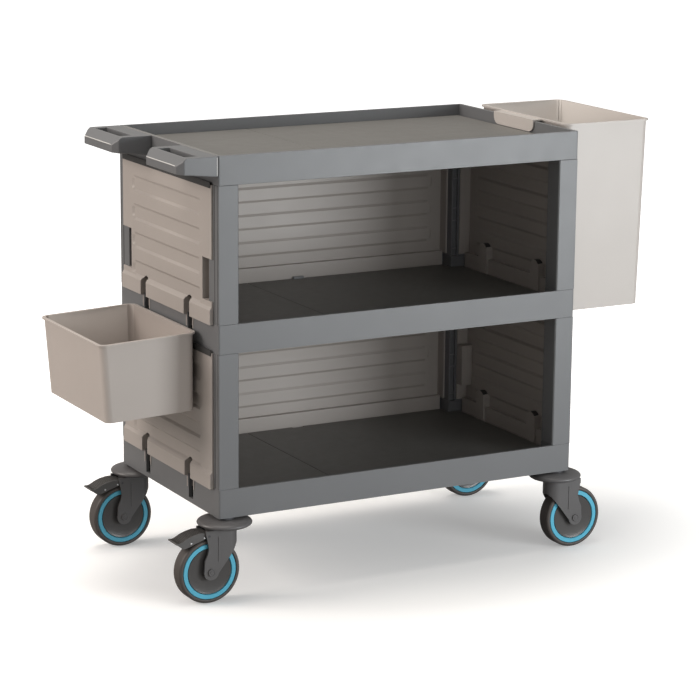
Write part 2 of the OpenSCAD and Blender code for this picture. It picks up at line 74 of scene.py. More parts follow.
MM = 0.001
ROUNDED_TURN = 30.0  # degrees that an edge turns before it is rounded
MERGE = 0.02 * MM  # distance at which a CAD mesh's doubled points merge
FLAT = 0.5  # degrees within which neighbouring faces join into one
POLE = 0.005 * MM  # distance at which a turned solid's seam and poles merge
SLIVER = 0.001 * MM  # length below which a turned solid's edge closes up
WEAR_HIGHLIGHT_SHARE = 0.55  # share of a finish's own colour that stays in its pale edges of wear and painted highlight
WEAR_HIGHLIGHT_LIFT = 0.24  # pale tone that the edge wear and painted highlight add
Socket = bpy.types.NodeSocket
Tree = bpy.types.NodeTree
Piece = bpy.types.Object
Mesh = bmesh.types.BMesh


class Corner(Enum):
    """The four corners of the cart, as the signs of X and Y."""

    FRONT_LEFT = (-1, -1)
    FRONT_RIGHT = (1, -1)
    REAR_LEFT = (-1, 1)
    REAR_RIGHT = (1, 1)

    @property
    def label(self) -> str:
        """The corner's name as the CAD nodes spell it."""
        return self.name.lower()

    @property
    def sx(self) -> int:
        """The sign of the corner's X."""
        return self.value[0]

    @property
    def braked(self) -> bool:
        """Whether the castor has a brake pedal."""
        return self.sx < 0


# ---------------------------------------------------------------- shader groups


def new_group(name: str, inputs: dict[str, float | tuple], outputs: dict[str, str]) -> Tree:
    """Makes an empty shader node group with named sockets.

    Args:
        name: The group's name.
        inputs: Socket names and their default values, a number or a colour.
        outputs: Socket names and their types, such as "NodeSocketColor".

    Returns:
        The node tree, with its Group Input and Group Output nodes named "in" and "out".
    """
    tree = bpy.data.node_groups.new(name, "ShaderNodeTree")
    for label, value in inputs.items():
        kind = "NodeSocketFloat" if isinstance(value, (int, float)) else "NodeSocketColor"
        if label == "Vector":
            kind = "NodeSocketVector"
        socket = tree.interface.new_socket(label, in_out="INPUT", socket_type=kind)
        if label != "Vector":
            socket.default_value = value
    for label, kind in outputs.items():
        tree.interface.new_socket(label, in_out="OUTPUT", socket_type=kind)
    tree.nodes.new("NodeGroupInput").name = "in"
    tree.nodes.new("NodeGroupOutput").name = "out"
    return tree


def add_noise(tree: Tree, scale: Socket | float, vector: Socket, detail: float = 3.0,
              rough: float = 0.5) -> Socket:
    """Adds a noise texture that reads the given coordinates.

    Args:
        tree: The node tree to add to.
        scale: The noise's scale, or the socket that gives it.
        vector: The socket that gives the coordinates.
        detail: The number of octaves.
        rough: The roughness of the octaves.

    Returns:
        The socket with the noise's value.
    """
    noise = tree.nodes.new("ShaderNodeTexNoise")
    noise.inputs["Detail"].default_value = detail
    noise.inputs["Roughness"].default_value = rough
    if isinstance(scale, (int, float)):
        noise.inputs["Scale"].default_value = scale
    else:
        tree.links.new(scale, noise.inputs["Scale"])
    tree.links.new(vector, noise.inputs["Vector"])
    return noise.outputs["Fac"]


def add_math(tree: Tree, operation: str, a: Socket | float, b: Socket | float,
             clamp: bool = False) -> Socket:
    """Adds a Math node.

    Args:
        tree: The node tree to add to.
        operation: The Math node's operation.
        a: The first value, or the socket that gives it.
        b: The second value, or the socket that gives it.
        clamp: Whether the result stays between 0 and 1.

    Returns:
        The node's output socket.
    """
    node = tree.nodes.new("ShaderNodeMath")
    node.operation = operation
    node.use_clamp = clamp
    for socket, value in zip(node.inputs, (a, b)):
        if isinstance(value, (int, float)):
            socket.default_value = value
        else:
            tree.links.new(value, socket)
    return node.outputs[0]


def add_blend(tree: Tree, share: Socket, a: Socket, b: Socket) -> Socket:
    """Adds a Mix node that goes from one colour to another.

    Args:
        tree: The node tree to add to.
        share: The socket that gives the second colour's share.
        a: The first colour.
        b: The second colour.

    Returns:
        The mixed colour's socket.
    """
    node = tree.nodes.new("ShaderNodeMix")
    node.data_type = "RGBA"
    tree.links.new(share, node.inputs["Factor"])
    tree.links.new(a, node.inputs[6])
    tree.links.new(b, node.inputs[7])
    return node.outputs[2]


def grain_group() -> None:
    """Builds the moulded grain: a fine pitted texture with a soft unevenness beneath it.

    The group goes from coordinates to a height and a roughness.
    """
    tree = new_group(
        "Moulded Grain",
        {"Vector": 0.0, "Scale": 900.0, "Roughness": 0.5, "Variation": 0.1},
        {"Height": "NodeSocketFloat", "Roughness": "NodeSocketFloat"},
    )
    source, sink = tree.nodes["in"], tree.nodes["out"]
    fine = add_noise(tree, source.outputs["Scale"], source.outputs["Vector"], 3.0, 0.6)
    broad_share, broad_height = 0.02, 0.6
    broad_scale = add_math(tree, "MULTIPLY", source.outputs["Scale"], broad_share)
    broad = add_noise(tree, broad_scale, source.outputs["Vector"], 4.0, 0.55)
    swing = add_math(tree, "MULTIPLY", add_math(tree, "SUBTRACT", broad, 0.5), source.outputs["Variation"])
    height = add_math(tree, "ADD", fine, add_math(tree, "MULTIPLY", broad, broad_height))
    tree.links.new(height, sink.inputs["Height"])
    tree.links.new(add_math(tree, "ADD", source.outputs["Roughness"], swing), sink.inputs["Roughness"])


def scuff_group() -> None:
    """Builds the edge wear and painted highlight: a broken mask along the corners, where hands and doors
    rub and where edges catch the light.

    The group goes from coordinates to a mask.
    """
    tree = new_group("Edge Scuff", {"Vector": 0.0, "Radius": 0.003, "Amount": 0.5},
                     {"Mask": "NodeSocketFloat"})
    source, sink = tree.nodes["in"], tree.nodes["out"]
    edge_gain, patch_scale, patch_floor, patch_gain = 3.0, 38.0, 0.35, 3.2
    # the pale edge colour that this mask lets in is partly wear and partly painted highlight
    bevel = tree.nodes.new("ShaderNodeBevel")
    bevel.samples = 4
    tree.links.new(source.outputs["Radius"], bevel.inputs["Radius"])
    facing = tree.nodes.new("ShaderNodeVectorMath")
    facing.operation = "DOT_PRODUCT"
    tree.links.new(bevel.outputs["Normal"], facing.inputs[0])
    tree.links.new(tree.nodes.new("ShaderNodeNewGeometry").outputs["True Normal"], facing.inputs[1])
    turned = add_math(tree, "SUBTRACT", 1.0, facing.outputs["Value"])
    edge = add_math(tree, "MULTIPLY", turned, edge_gain, clamp=True)
    patches = add_noise(tree, patch_scale, source.outputs["Vector"], 5.0, 0.65)
    broken = add_math(tree, "MULTIPLY", add_math(tree, "SUBTRACT", patches, patch_floor), patch_gain,
                      clamp=True)
    mask = add_math(tree, "MULTIPLY", add_math(tree, "MULTIPLY", edge, broken), source.outputs["Amount"])
    tree.links.new(mask, sink.inputs["Mask"])


def dust_group() -> None:
    """Builds the settled dust: a soft mask on what faces up, thicker in patches.

    The group goes from coordinates to a mask.
    """
    tree = new_group("Settled Dust", {"Vector": 0.0, "Amount": 0.2}, {"Mask": "NodeSocketFloat"})
    source, sink = tree.nodes["in"], tree.nodes["out"]
    patch_scale, falloff = 9.0, 2.0
    split = tree.nodes.new("ShaderNodeSeparateXYZ")
    tree.links.new(tree.nodes.new("ShaderNodeNewGeometry").outputs["Normal"], split.inputs[0])
    upward = add_math(tree, "POWER", add_math(tree, "MAXIMUM", split.outputs["Z"], 0.0), falloff)
    patches = add_noise(tree, patch_scale, source.outputs["Vector"], 6.0, 0.6)
    mask = add_math(tree, "MULTIPLY", add_math(tree, "MULTIPLY", upward, patches), source.outputs["Amount"])
    tree.links.new(mask, sink.inputs["Mask"])


def tint_group() -> None:
    """Builds the colour of a moulding: slow drifts in tone, fine speckle, pale edges of wear and painted
    highlight, and dust.

    The group goes from coordinates, colours and masks to a colour.
    """
    tree = new_group(
        "Moulding Tint",
        {"Vector": 0.0, "Base": (0.5, 0.5, 0.5, 1.0), "Worn": (0.6, 0.6, 0.6, 1.0),
         "Dust Color": (0.5, 0.48, 0.45, 1.0), "Scuff": 0.0, "Dust": 0.0, "Drift": 0.05, "Speckle": 0.03},
        {"Color": "NodeSocketColor"},
    )
    source, sink = tree.nodes["in"], tree.nodes["out"]
    place = source.outputs["Vector"]
    drift_scale, speckle_scale = 6.0, 540.0
    slow = add_math(tree, "MULTIPLY", add_math(tree, "SUBTRACT", add_noise(tree, drift_scale, place), 0.5),
                    source.outputs["Drift"])
    quick = add_math(tree, "MULTIPLY",
                     add_math(tree, "SUBTRACT", add_noise(tree, speckle_scale, place), 0.5),
                     source.outputs["Speckle"])
    gain = add_math(tree, "ADD", add_math(tree, "ADD", slow, quick), 1.0)
    scaled = tree.nodes.new("ShaderNodeVectorMath")
    scaled.operation = "SCALE"
    tree.links.new(source.outputs["Base"], scaled.inputs[0])
    tree.links.new(gain, scaled.inputs["Scale"])
    # pale edges: partly wear, partly painted highlight
    wear_highlighted = add_blend(tree, source.outputs["Scuff"], scaled.outputs[0], source.outputs["Worn"])
    dusty = add_blend(tree, source.outputs["Dust"], wear_highlighted, source.outputs["Dust Color"])
    tree.links.new(dusty, sink.inputs["Color"])


def sweep_group() -> None:
    """Builds the studio sweep: a glow that grows away from the cart until the floor is white.

    The group goes from coordinates to a colour.
    """
    tree = new_group("Studio Sweep", {"Vector": 0.0, "Near": 0.26, "Far": 1.0, "Start": 0.5, "Reach": 1.3},
                     {"Color": "NodeSocketColor"})
    source, sink = tree.nodes["in"], tree.nodes["out"]
    length = tree.nodes.new("ShaderNodeVectorMath")
    length.operation = "LENGTH"
    tree.links.new(source.outputs["Vector"], length.inputs[0])
    past = add_math(tree, "SUBTRACT", length.outputs["Value"], source.outputs["Start"])
    share = add_math(tree, "DIVIDE", past, source.outputs["Reach"], clamp=True)
    span = add_math(tree, "SUBTRACT", source.outputs["Far"], source.outputs["Near"])
    glow = add_math(tree, "ADD", add_math(tree, "MULTIPLY", share, span), source.outputs["Near"])
    tree.links.new(glow, sink.inputs["Color"])


# ---------------------------------------------------------------- finishes


@dataclass(frozen=True)
class Finish:
    """A moulded or plain finish, with its colour, sheen, grain, and edge wear that is partly painted
    highlight.

    Attributes:
        name: The material's name.
        slot: The record's material slot that the finish stands for.
        colour: The base colour, linear.
        roughness: The mean roughness.
        variation: How far the roughness swings.
        grain: The grain's scale, per metre.
        depth: The grain's depth in metres.
        drift: How far the tone drifts over the surface.
        speckle: How far the tone changes from speck to speck.
        metallic: The metallic value.
        scuff: How strongly the edges are paled, partly as wear and partly as painted highlight.
        dust: How much dust lies on what faces up.
    """

    name: str
    slot: str
    colour: tuple[float, float, float]
    roughness: float = 0.5
    variation: float = 0.12
    grain: float = 1400.0
    depth: float = 0.00004
    drift: float = 0.08
    speckle: float = 0.06
    metallic: float = 0.0
    scuff: float = 0.35
    dust: float = 0.06

    def material(self) -> bpy.types.Material:
        """Builds the finish's material once and returns it after that.

        Returns:
            The material.
        """
        known = bpy.data.materials.get(self.name)
        if known:
            return known
        made = bpy.data.materials.new(self.name)
        made.use_nodes = True
        tree = made.node_tree
        shader = tree.nodes["Principled BSDF"]
        place = tree.nodes.new("ShaderNodeTexCoord").outputs["Object"]
        tint = self._group(tree, "Moulding Tint", place)
        tint.inputs["Base"].default_value = (*self.colour, 1.0)
        tint.inputs["Worn"].default_value = (*(WEAR_HIGHLIGHT_SHARE * c + WEAR_HIGHLIGHT_LIFT for c in self.colour), 1.0)
        tint.inputs["Drift"].default_value = self.drift
        tint.inputs["Speckle"].default_value = self.speckle
        # edges paled partly as wear and partly as painted highlight
        if self.scuff:
            scuff = self._group(tree, "Edge Scuff", place)
            scuff.inputs["Amount"].default_value = self.scuff
            tree.links.new(scuff.outputs["Mask"], tint.inputs["Scuff"])
        if self.dust:
            dust = self._group(tree, "Settled Dust", place)
            dust.inputs["Amount"].default_value = self.dust
            tree.links.new(dust.outputs["Mask"], tint.inputs["Dust"])
        grain = self._group(tree, "Moulded Grain", place)
        grain.inputs["Scale"].default_value = self.grain
        grain.inputs["Roughness"].default_value = self.roughness
        grain.inputs["Variation"].default_value = self.variation
        bump = tree.nodes.new("ShaderNodeBump")
        bump.inputs["Strength"].default_value = 1.0
        bump.inputs["Distance"].default_value = self.depth
        tree.links.new(grain.outputs["Height"], bump.inputs["Height"])
        tree.links.new(bump.outputs["Normal"], shader.inputs["Normal"])
        tree.links.new(tint.outputs["Color"], shader.inputs["Base Color"])
        tree.links.new(grain.outputs["Roughness"], shader.inputs["Roughness"])
        shader.inputs["Metallic"].default_value = self.metallic
        return made

    @staticmethod
    def _group(tree: Tree, name: str, place: Socket) -> bpy.types.Node:
        """Puts a shader group in a material and gives it the coordinates.

        Args:
            tree: The material's node tree.
            name: The group's name.
            place: The socket that gives the coordinates.

        Returns:
            The group node.
        """
        node = tree.nodes.new("ShaderNodeGroup")
        node.node_tree = bpy.data.node_groups[name]
        tree.links.new(place, node.inputs["Vector"])
        return node


TRAY = Finish("tray grey", "tray_plastic", (0.138, 0.140, 0.145), roughness=0.4)
# painted highlight: a near-white grey for the bright lines along the handles' edges
PAINTED_EDGE_HIGHLIGHT = Finish("rubbed edge grey", "tray_plastic", (0.62, 0.61, 0.59), roughness=0.35, scuff=0.0, drift=0.2)
# painted highlight: a pale grey for the light lines along the top tray's left rim
PAINTED_RIM_HIGHLIGHT = Finish("worn rim grey", "tray_plastic", (0.30, 0.285, 0.26), roughness=0.35, scuff=0.0)
BOARD = Finish("board grey", "shelf_board", (0.130, 0.125, 0.117), roughness=0.5, grain=2200.0, scuff=0.15)
PANEL = Finish("panel grey", "panel_plastic", (0.375, 0.338, 0.312), roughness=0.46, scuff=0.2)
# painted shade: near-black for the panels' hook-pocket faces and the pedal's grip ribs
PAINTED_SHADE = Finish("pocket grey", "panel_plastic", (0.04, 0.037, 0.035), roughness=0.7, scuff=0.0, dust=0.0)
# painted shade: near-black plates and strips for the hook slots, the post grooves and the gaps over the
# panels
PAINTED_STRIP_SHADE = Finish("liner grey", "tray_plastic", (0.03, 0.03, 0.03), roughness=0.7, scuff=0.0, dust=0.0)
BIN = Finish("bin grey", "tall_bin_plastic", (0.50, 0.46, 0.43), roughness=0.4, scuff=0.2, dust=0.03)
# painted shade: the tall bin's plastic, set darker for the small bin
SHADED_SMALL_BIN = Finish("small bin grey", "small_bin_plastic", (0.43, 0.385, 0.355), roughness=0.4, scuff=0.2)
STEEL = Finish("zinc plate", "steel", (0.62, 0.62, 0.63), roughness=0.3, metallic=1.0, grain=600.0)
DARK_STEEL = Finish("blackened steel", "steel", (0.06, 0.06, 0.065), roughness=0.45, metallic=0.4,
                    grain=600.0)
NYLON = Finish("castor nylon", "castor_plastic", (0.100, 0.096, 0.097), roughness=0.36, scuff=0.15)
HUB = Finish("hub nylon", "castor_plastic", (0.072, 0.069, 0.068), roughness=0.22, scuff=0.1, drift=0.3)
TREAD = Finish("pedal nylon", "castor_plastic", (0.082, 0.078, 0.076), roughness=0.5, grain=700.0,
               depth=0.0002, speckle=0.5, scuff=0.3)
RING = Finish("blue ring", "wheel_ring", (0.09, 0.42, 0.58), roughness=0.4, scuff=0.1)
RUBBER = Finish("tyre rubber", "tyre", (0.070, 0.060, 0.055), roughness=0.5, scuff=0.1, dust=0.1)


# ---------------------------------------------------------------- mesh helpers


def place_mesh(shape: Mesh, name: str, finishes: list[Finish], sharp: float = 35.0) -> Piece:
    """Turns a bmesh into an object at the origin, shaded smooth with sharp edges kept.

    Args:
        shape: The mesh, which is freed.
        name: The object's name.
        finishes: The finishes of its material slots.
        sharp: The angle in degrees above which an edge stays sharp.

    Returns:
        The object.
    """
    mesh = bpy.data.meshes.new(name)
    shape.to_mesh(mesh)
    shape.free()
    mesh.shade_smooth()
    mesh.set_sharp_from_angle(angle=math.radians(sharp))
    for finish in finishes:
        mesh.materials.append(finish.material())
    made = bpy.data.objects.new(name, mesh)
    bpy.context.scene.collection.objects.link(made)
    weighted = made.modifiers.new("flat faces", "WEIGHTED_NORMAL")
    weighted.keep_sharp = True
    return made


def settle(piece: Piece, body: str, finish: Finish, *nodes: str) -> None:
    """Rides a piece on its body, and lets it stand for its CAD nodes.

    Args:
        piece: The piece.
        body: The CAD body that it moves with.
        finish: Not used.
        nodes: The CAD nodes that it stands for.
    """
    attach(piece, body)
    if nodes:
        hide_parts(*nodes)
    LOG.info("%s: %d faces on %s", piece.name, len(piece.data.polygons), body)


def merged_copy(node: Piece) -> Mesh:
    """Copies a CAD node's mesh with its doubles merged and its flat faces joined.

    Args:
        node: The CAD node's object.

    Returns:
        The copy.
    """
    shape = bmesh.new()
    shape.from_mesh(node.data)
    bmesh.ops.remove_doubles(shape, verts=shape.verts, dist=MERGE)
    bmesh.ops.dissolve_limit(shape, angle_limit=math.radians(FLAT), use_dissolve_boundaries=False,
                             verts=shape.verts, edges=shape.edges)
    return shape


def soften(shape: Mesh, radius: float, segments: int = 2) -> None:
    """Rounds every edge that turns by more than ROUNDED_TURN.

    Args:
        shape: The mesh.
        radius: The bevel's width.
        segments: The bevel's segments.
    """
    limit = math.radians(ROUNDED_TURN)
    edges = [e for e in shape.edges if len(e.link_faces) == 2 and e.calc_face_angle(0.0) > limit]
    bmesh.ops.bevel(shape, geom=edges, offset=radius, offset_type="OFFSET", affect="EDGES",
                    segments=segments, profile=0.5, clamp_overlap=True, material=-1)


def add_box(shape: Mesh, size: tuple[float, float, float], spot: tuple[float, float, float]) -> None:
    """Adds a box to a mesh.

    Args:
        shape: The mesh.
        size: The box's size.
        spot: Its centre.
    """
    box = bmesh.ops.create_cube(shape, size=1.0)["verts"]
    bmesh.ops.scale(shape, verts=box, vec=size)
    bmesh.ops.translate(shape, verts=box, vec=spot)


def arc(centre: tuple[float, float], size: tuple[float, float], start: float, stop: float,
        steps: int = 6) -> list[tuple[float, float]]:
    """Gives points along an elliptical arc.

    Args:
        centre: The ellipse's centre.
        size: Its two half widths.
        start: The first point's angle in degrees.
        stop: The last point's angle in degrees.
        steps: The number of stretches between points.

    Returns:
        The points.
    """
    angles = [math.radians(start + (stop - start) * i / steps) for i in range(steps + 1)]
    return [(centre[0] + size[0] * math.cos(a), centre[1] + size[1] * math.sin(a)) for a in angles]


def spin_outline(shape: Mesh, outline: list[tuple[float, float]], centre: Vector, axis: Vector,
                 closed: bool = True, steps: int = 72) -> None:
    """Adds a turned solid: an outline of radius and height, spun about an axis.

    Args:
        shape: The mesh to add to.
        outline: Radius and height along the axis at each point.
        centre: The point on the axis where the height is zero.
        axis: The axis.
        closed: Whether the outline closes; an open one starts and ends on the axis.
        steps: The number of steps round the axis.
    """
    out = axis.orthogonal().normalized()
    spots = [shape.verts.new(centre + out * r + axis * h) for r, h in outline]
    pairs = list(zip(spots, spots[1:] + spots[:1])) if closed else list(zip(spots, spots[1:]))
    edges = [shape.edges.new(pair) for pair in pairs]
    bmesh.ops.spin(shape, geom=spots + edges, cent=centre, axis=axis, dvec=Vector(), angle=math.tau,
                   steps=steps, use_merge=True, use_duplicate=False)


def finish_spin(shape: Mesh) -> None:
    """Closes the seams and poles of turned solids and points their faces outwards.

    Args:
        shape: The mesh.
    """
    bmesh.ops.remove_doubles(shape, verts=shape.verts, dist=POLE)
    bmesh.ops.dissolve_degenerate(shape, dist=SLIVER, edges=shape.edges)
    bmesh.ops.recalc_face_normals(shape, faces=shape.faces)


# ---------------------------------------------------------------- sub-assemblies


@dataclass
class Shell:
    """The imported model's nodes, and rounded pieces made from them."""

    nodes: dict[str, Piece]

    def body(self, node: str) -> str:
        """The CAD body that a node rides on."""
        return self.nodes[node]["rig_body"]

    def named(self, *parts: str) -> list[str]:
        """The nodes whose names hold any of the given words."""
        return [n for n in self.nodes if any(part in n for part in parts)]

    def round_copy(self, node: str, finish: Finish, radius: float, segments: int = 3) -> None:
        """Makes a piece that is the CAD node with its edges rounded.

        Args:
            node: The CAD node.
            finish: Its finish.
            radius: The edge radius.
            segments: The segments across an edge.
        """
        shape = merged_copy(self.nodes[node])
        soften(shape, radius, segments)
        settle(place_mesh(shape, f"{node}_shell", [finish]), self.body(node), finish, node)


@dataclass
class Frame:
    """The trays, their shelf boards, the corner posts and the tie rods inside them."""

    shell: Shell
    tray_edge: float = 1.8 * MM
    board_edge: float = 1.2 * MM
    post_edge: float = 1.2 * MM
    seam: float = 0.6 * MM
    slot_y: float = 120 * MM
    slot_w: float = 29.6 * MM
    slot_h: float = 30 * MM
    slot_rise: float = 19.3 * MM
    skirt: float = 8.2 * MM
    pocket: float = 14.4 * MM
    sheet: float = 0.5 * MM
    bead: float = 1.4 * MM
    bead_y: float = 252 * MM
    rod_edge: float = 0.5 * MM
    groove_t: float = 0.8 * MM
    groove_sunk: float = 0.3 * MM
    groove_w: float = 3 * MM
    groove_y: float = 19 * MM

    def build(self) -> None:
        """Builds every piece of the frame."""
        for node in ("middle_tray", "base_tray"):
            self._slot_liners(node)
        self._rim_bead()
        for node in self.shell.named("_tray"):
            self.shell.round_copy(node, TRAY, self.tray_edge)
        for node in self.shell.named("_shelf_"):
            self.shell.round_copy(node, BOARD, self.board_edge, 2)
        for node in self.shell.named("_post_"):
            self._post(node)
        self.shell.round_copy("tie_rods", STEEL, self.rod_edge, 2)

    def _slot_liners(self, node: str) -> None:
        """Paints shade into a tray's four hook slots: thin near-black plates on their backs and sides,
        where the slots lie in shadow.

        Args:
            node: The tray's CAD node.
        """
        low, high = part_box(node)
        shape = bmesh.new()
        middle_z = low[2] + self.slot_rise
        for end, face_x in ((-1, low[0]), (1, high[0])):
            back_x = face_x - end * (self.pocket - self.sheet / 2)
            side_x = face_x - end * (self.skirt + self.pocket) / 2
            side = (self.slot_w - self.sheet) / 2
            for y in (-self.slot_y, self.slot_y):
                add_box(shape, (self.sheet, self.slot_w, self.slot_h), (back_x, y, middle_z))
                for turn in (-1, 1):
                    add_box(shape, (self.pocket - self.skirt - 2 * self.sheet, self.sheet, self.slot_h),
                            (side_x + end * self.sheet / 2, y + turn * side, middle_z))
        settle(place_mesh(shape, f"{node}_slot_liners", [PAINTED_STRIP_SHADE]), self.shell.body(node), PAINTED_STRIP_SHADE)

    def _rim_bead(self) -> None:
        """Lays a pale bead of painted highlight along each edge of the top tray's left rim."""
        low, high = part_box("top_tray")
        shape = bmesh.new()
        for x in (low[0] + 1 * MM, low[0] + self.skirt - 0.6 * MM):
            add_box(shape, (self.bead, self.bead_y * 2, self.bead), (x, 0, high[2] - 0.5 * MM))
        soften(shape, 0.4 * MM)
        settle(place_mesh(shape, "top_tray_rim_bead", [PAINTED_RIM_HIGHLIGHT]), self.shell.body("top_tray"), PAINTED_RIM_HIGHLIGHT)

    def _post(self, node: str) -> None:
        """Makes a post that stops short of the trays, and a near-black strip of painted shade for the
        groove down its end side.

        Args:
            node: The post's CAD node.
        """
        low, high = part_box(node)
        shape = merged_copy(self.shell.nodes[node])
        for vert in shape.verts:
            if vert.co.z < low[2] + self.seam:
                vert.co.z += self.seam
            elif vert.co.z > high[2] - self.seam:
                vert.co.z -= self.seam
        soften(shape, self.post_edge, 2)
        settle(place_mesh(shape, f"{node}_shell", [TRAY]), self.shell.body(node), TRAY, node)
        x = low[0] + self.groove_sunk if "left" in node else high[0] - self.groove_sunk
        y = low[1] + self.groove_y if "front" in node else high[1] - self.groove_y
        # a near-black strip of painted shade where the groove lies in shadow
        groove = bmesh.new()
        add_box(groove, (self.groove_t, self.groove_w, high[2] - low[2] - 4 * self.seam),
                (x, y, (low[2] + high[2]) / 2))
        settle(place_mesh(groove, f"{node}_groove", [PAINTED_STRIP_SHADE]), self.shell.body(node), PAINTED_STRIP_SHADE)


@dataclass
class Panels:
    """The clip-in end and back panels, with their pressed channels and hook pockets."""

    shell: Shell
    edge: float = 1.4 * MM
    skirt: float = 8.6 * MM
    slot_y: float = 120 * MM
    pocket_half: float = 16 * MM
    pocket_top: float = 80 * MM
    facing_in: float = 0.5
    seal_t: float = 1 * MM
    seal_h: float = 14 * MM
    seal_in: float = 3.2 * MM
    seal_end: float = 3 * MM

    def build(self) -> None:
        """Builds the six panels."""
        for node in self.shell.named("_panel"):
            self._panel(node)

    def _panel(self, node: str) -> None:
        """Makes a panel, painted near-black as shade where it lines a hook pocket behind the tray's skirt.

        Args:
            node: The panel's CAD node.
        """
        low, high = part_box(node)
        shape = merged_copy(self.shell.nodes[node])
        soften(shape, self.edge, 3)
        shape.normal_update()
        if "back" not in node:
            inwards = 1 if "left" in node else -1
            face_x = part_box("base_tray")[0 if inwards > 0 else 1][0]
            # faces deep behind the skirt beside a hook slot get the near-black painted shade
            for face in shape.faces:
                spot = face.calc_center_median()
                behind = (spot.x - face_x) * inwards > self.skirt and spot.z < low[2] + self.pocket_top
                beside = abs(abs(spot.y) - self.slot_y) < self.pocket_half
                if behind and beside and face.normal.x * inwards < self.facing_in:
                    face.material_index = 1
        made = place_mesh(shape, f"{node}_shell", [PANEL, PAINTED_SHADE])
        settle(made, self.shell.body(node), PANEL, node)
        self._seal(node)

    def _seal(self, node: str) -> None:
        """Paints the shadow gap over a panel's top: a thin near-black strip of painted shade along the
        panel's top edge.

        Args:
            node: The panel's CAD node.
        """
        low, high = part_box(node)
        middle = [(a + b) / 2 for a, b in zip(low, high)]
        size = [b - a - 2 * self.seal_end for a, b in zip(low, high)]
        size[2] = self.seal_h
        if "back" in node:
            size[1] = self.seal_t
            middle[1] = high[1] - self.seal_in
        else:
            size[0] = self.seal_t
            middle[0] = low[0] + self.seal_in if "left" in node else high[0] - self.seal_in
        shape = bmesh.new()
        add_box(shape, tuple(size), (middle[0], middle[1], high[2]))
        settle(place_mesh(shape, f"{node}_seal", [PAINTED_STRIP_SHADE]), self.shell.body(node), PAINTED_STRIP_SHADE)


@dataclass
class Handles:
    """The two push handles at the left end."""

    shell: Shell
    edge: float = 2.2 * MM
    band: float = 18 * MM
    corner: float = 17 * MM
    bead: float = 1.9 * MM
    bead_share: float = 0.86
    bead_sunk: float = 0.3

    def build(self) -> None:
        """Builds both handles."""
        for node in ("front_handle", "rear_handle"):
            self.shell.round_copy(node, TRAY, self.edge, 3)
            self._beads(node)

    def _beads(self, node: str) -> None:
        """Lays a pale bead of painted highlight along a handle's outer face, and one down the front
        handle's corner.

        Args:
            node: The handle's CAD node.
        """
        low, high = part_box(node)
        shape = bmesh.new()
        add_box(shape, (self.bead, high[1] - low[1] - 2 * self.corner, self.bead),
                (low[0] + self.bead * self.bead_sunk, (low[1] + high[1]) / 2,
                 high[2] - self.band + 0.4 * MM))
        if "front" in node:
            add_box(shape, (self.bead, self.bead, (high[2] - low[2]) * self.bead_share),
                    (high[0] - self.bead, low[1] + self.bead * self.bead_sunk, (low[2] + high[2]) / 2))
        soften(shape, self.bead / 3, 3)
        settle(place_mesh(shape, f"{node}_beads", [PAINTED_EDGE_HIGHLIGHT]), self.shell.body(node), PAINTED_EDGE_HIGHLIGHT)


@dataclass
class Bins:
    """The tall bin with its hanging flap, and the small bin with its hooks."""

    shell: Shell
    lip: float = 1.5 * MM
    flap_corner: float = 20 * MM
    flap_t: float = 6 * MM
    level: float = 0.1 * MM

    def build(self) -> None:
        """Builds both bins."""
        tall = merged_copy(self.shell.nodes["tall_bin"])
        self._round_flap(tall)
        self._finish(tall, "tall_bin", BIN)
        # the small bin's darker grey is painted shade
        self._finish(merged_copy(self.shell.nodes["small_bin"]), "small_bin", SHADED_SMALL_BIN)

    def _round_flap(self, shape: Mesh) -> None:
        """Rounds the lower corners of the flap that drops inside the tray's rim.

        Args:
            shape: The tall bin's mesh.
        """
        inner = min(v.co.x for v in shape.verts)
        flap = [v for v in shape.verts if v.co.x < inner + self.flap_t]
        bottom = min(v.co.z for v in flap)
        corners = [e for e in shape.edges
                   if all(v in flap and v.co.z < bottom + self.level for v in e.verts)
                   and abs(e.verts[0].co.y - e.verts[1].co.y) < self.level]
        bmesh.ops.bevel(shape, geom=corners, offset=self.flap_corner, offset_type="OFFSET",
                        affect="EDGES", segments=6, profile=0.5, clamp_overlap=True, material=-1)

    def _finish(self, shape: Mesh, node: str, finish: Finish) -> None:
        """Rounds a bin's lip and edges and makes its piece.

        Args:
            shape: The bin's mesh.
            node: The bin's CAD node.
            finish: The bin's finish.
        """
        soften(shape, self.lip, 3)
        settle(place_mesh(shape, f"{node}_shell", [finish]), self.shell.body(node), finish, node)


